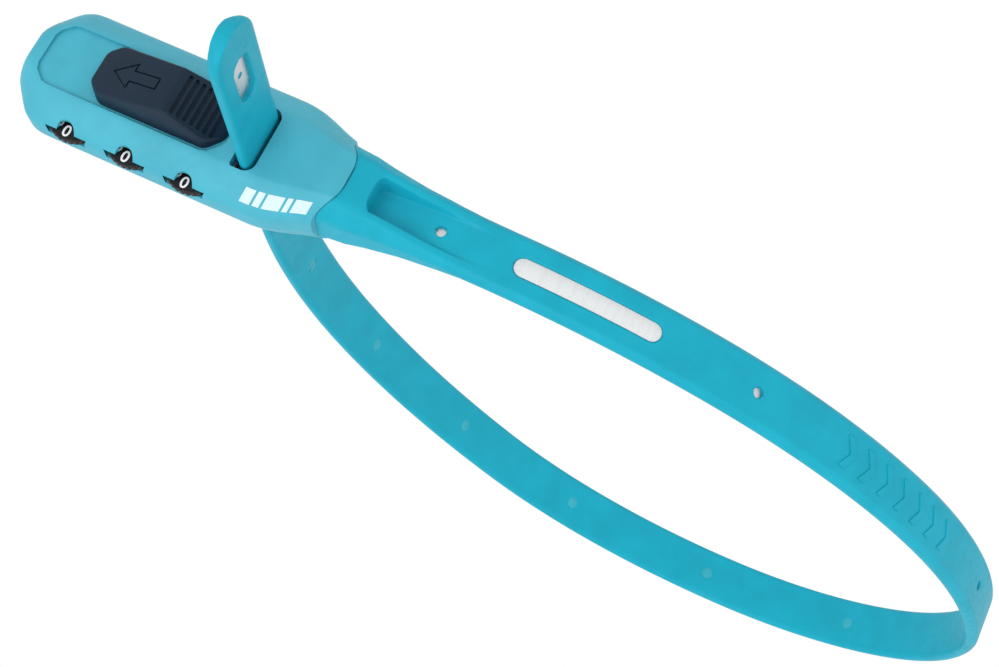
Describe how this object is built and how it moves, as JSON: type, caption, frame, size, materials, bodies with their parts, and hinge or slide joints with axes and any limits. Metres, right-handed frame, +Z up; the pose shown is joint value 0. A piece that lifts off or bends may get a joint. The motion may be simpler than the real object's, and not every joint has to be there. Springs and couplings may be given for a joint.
{
  "type": "combination strap lock",
  "caption": "Reusable combination strap lock: steel-cored plastic strap looped through a head with three number wheels and a sliding release button.",
  "frame": {"origin": "on the flat side of the head that the lock lies on, level with the strap's mid plane and next to the slot for the strap's tail", "axes": "+X along the head from the dial end to the strap root, +Y out of the face with the slider and along the tail, +Z up from the resting side to the dials"},
  "size_m": [0.1792, 0.165, 0.0217],
  "materials": {
    "head_plastic": "satin",
    "strap_plastic": "satin",
    "slider_plastic": "matte",
    "wheel_black": "satin",
    "brass": "machined",
    "steel": "satin",
    "reflector": "reflective film"
  },
  "bodies": {
    "head": {"head_cover": "head_plastic", "head_base": "head_plastic", "strap_guide": "steel", "sleeve_root": "strap_plastic", "core_root": "steel", "anchor_rivets": "steel", "base_screws": "steel", "dial_axles": "steel", "detent_spring": "steel", "pawl_pin": "steel", "slider_spring": "steel", "reset_spring": "steel", "pawl_spring": "steel"},
    "slider": {"slider_button": "slider_plastic", "slider_carriage": "slider_plastic", "locking_bar": "steel"},
    "pawl": {"pawl": "steel"},
    "reset_button": {"reset_button": "wheel_black"},
    "dial_1": {"number_wheel_1": "wheel_black", "cam_hub_1": "brass"},
    "dial_2": {"number_wheel_2": "wheel_black", "cam_hub_2": "brass"},
    "dial_3": {"number_wheel_3": "wheel_black", "cam_hub_3": "brass"},
    "strap_span_1": {"sleeve_1": "strap_plastic", "core_1": "steel", "reflective_strip": "reflector"},
    "strap_span_2": {"sleeve_2": "strap_plastic", "core_2": "steel"},
    "strap_span_3": {"sleeve_3": "strap_plastic", "core_3": "steel"},
    "strap_span_4": {"sleeve_4": "strap_plastic", "core_4": "steel"},
    "strap_span_5": {"sleeve_5": "strap_plastic", "core_5": "steel"},
    "strap_span_6": {"sleeve_6": "strap_plastic", "core_6": "steel"},
    "strap_span_7": {"sleeve_7": "strap_plastic", "core_7": "steel"},
    "strap_span_8": {"sleeve_8": "strap_plastic", "core_8": "steel"},
    "strap_tail": {"sleeve_tail": "strap_plastic", "core_tail": "steel"}
  },
  "joints": [
    {"name": "slider_release", "type": "slide", "parent": "head", "child": "slider", "axis": [-1, 0, 0], "range_m": [0, 0.006], "stiffness_N_per_m": 180, "springref_m": -0.004, "deforming": ["slider_spring"]},
    {"name": "dial_1_turn", "type": "hinge", "parent": "head", "child": "dial_1", "pos_m": [-0.0305, 0.0018, 0.017], "axis": [0, 1, 0], "continuous": true},
    {"name": "dial_2_turn", "type": "hinge", "parent": "head", "child": "dial_2", "pos_m": [-0.0202, 0.0018, 0.017], "axis": [0, 1, 0], "continuous": true},
    {"name": "dial_3_turn", "type": "hinge", "parent": "head", "child": "dial_3", "pos_m": [-0.0099, 0.0018, 0.017], "axis": [0, 1, 0], "continuous": true},
    {"name": "pawl_lift", "type": "hinge", "parent": "head", "child": "pawl", "pos_m": [-0.0066, -0.0037, 0.0105], "axis": [0, 0, 1], "range_deg": [0, 8], "deforming": ["pawl_spring"]},
    {"name": "reset_press", "type": "slide", "parent": "head", "child": "reset_button", "axis": [0, 1, 0], "range_m": [0, 0.0008], "stiffness_N_per_m": 300, "springref_m": -0.001, "deforming": ["reset_spring"]},
    {"name": "strap_flex_1", "type": "hinge", "parent": "head", "child": "strap_span_1", "pos_m": [0.034, 0, 0.0105], "axis": [0, 0, 1], "range_deg": [-16.88, 1.71]},
    {"name": "strap_flex_2", "type": "hinge", "parent": "strap_span_1", "child": "strap_span_2", "pos_m": [0.07285, -0.00615, 0.0105], "axis": [0, 0, 1], "range_deg": [-1.28, 0.15]},
    {"name": "strap_flex_3", "type": "hinge", "parent": "strap_span_2", "child": "strap_span_3", "pos_m": [0.11244, -0.03065, 0.0105], "axis": [0, 0, 1], "range_deg": [-0.99, 9.68]},
    {"name": "strap_flex_4", "type": "hinge", "parent": "strap_span_3", "child": "strap_span_4", "pos_m": [0.13428, -0.06886, 0.0105], "axis": [0, 0, 1], "range_deg": [-1.13, 11.08]},
    {"name": "strap_flex_5", "type": "hinge", "parent": "strap_span_4", "child": "strap_span_5", "pos_m": [0.1285, -0.1053, 0.0105], "axis": [0, 0, 1], "range_deg": [-1.8, 18]},
    {"name": "strap_flex_6", "type": "hinge", "parent": "strap_span_5", "child": "strap_span_6", "pos_m": [0.09338, -0.12662, 0.0105], "axis": [0, 0, 1], "range_deg": [-7.49, 0.77]},
    {"name": "strap_flex_7", "type": "hinge", "parent": "strap_span_6", "child": "strap_span_7", "pos_m": [0.03853, -0.10692, 0.0105], "axis": [0, 0, 1], "range_deg": [-14.34, 1.45]},
    {"name": "strap_flex_8", "type": "hinge", "parent": "strap_span_7", "child": "strap_span_8", "pos_m": [0.00811, -0.06267, 0.0105], "axis": [0, 0, 1], "range_deg": [-10.25, 1.04]},
    {"name": "strap_flex_9", "type": "hinge", "parent": "strap_span_8", "child": "strap_tail", "pos_m": [-0.002, -0.01509, 0.0105], "axis": [0, 0, 1], "range_deg": [-1.16, 11.43]}
  ],
  "couplings": [
    {"joint": "pawl_lift", "follows": "slider_release", "rad_per_m": 23.271},
    {"joint": "strap_flex_1", "follows": "strap_flex_5", "ratio": -0.9368},
    {"joint": "strap_flex_2", "follows": "strap_flex_5", "ratio": -0.07},
    {"joint": "strap_flex_3", "follows": "strap_flex_5", "ratio": 0.5366},
    {"joint": "strap_flex_4", "follows": "strap_flex_5", "ratio": 0.6146},
    {"joint": "strap_flex_6", "follows": "strap_flex_5", "ratio": -0.4149},
    {"joint": "strap_flex_7", "follows": "strap_flex_5", "ratio": -0.7953},
    {"joint": "strap_flex_8", "follows": "strap_flex_5", "ratio": -0.5683},
    {"joint": "strap_flex_9", "follows": "strap_flex_5", "ratio": 0.6341}
  ]
}
